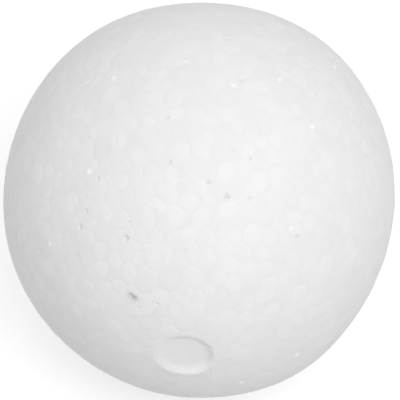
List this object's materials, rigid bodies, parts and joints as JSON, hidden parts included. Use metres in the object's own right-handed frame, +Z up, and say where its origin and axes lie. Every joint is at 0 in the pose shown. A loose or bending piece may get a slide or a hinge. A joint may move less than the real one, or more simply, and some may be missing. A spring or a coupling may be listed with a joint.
{
  "type": "polystyrene ball",
  "caption": "Moulded foam ball with a shallow round filler mark at one pole, for craft work and light bench use.",
  "frame": {"origin": "centre of the ball", "axes": "+Y along the mould's axis, away from the filler mark; the parting line lies in the XZ plane; +Z is up"},
  "size_m": [0.0802, 0.0818, 0.0802],
  "materials": {
    "foam": "satin white foam of fused beads"
  },
  "bodies": {
    "root": {"ball": "foam"}
  },
  "joints": []
}
